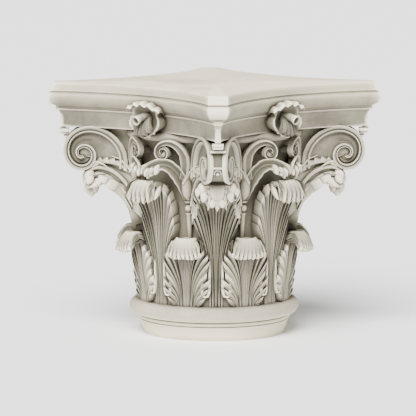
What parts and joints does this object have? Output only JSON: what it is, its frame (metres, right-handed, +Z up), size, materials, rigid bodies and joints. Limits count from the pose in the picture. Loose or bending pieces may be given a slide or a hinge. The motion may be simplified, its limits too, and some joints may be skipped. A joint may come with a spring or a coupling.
{
  "type": "corinthian column capital",
  "caption": "Corinthian capital with two rings of acanthus leaves on a round bell, corner volutes and a hollow-sided abacus with a flower on each side.",
  "frame": {"origin": "middle of the underside of the collar", "axes": "+Z up the column's axis; the four sides of the abacus face +X, -X, +Y and -Y and its horns lie on the diagonals"},
  "size_m": [0.4786, 0.4786, 0.485],
  "materials": {
    "cast_stone": "cream cast-stone composite, matt, slightly dusty in the recesses"
  },
  "bodies": {
    "root": {"capital": "cast_stone"}
  },
  "joints": []
}
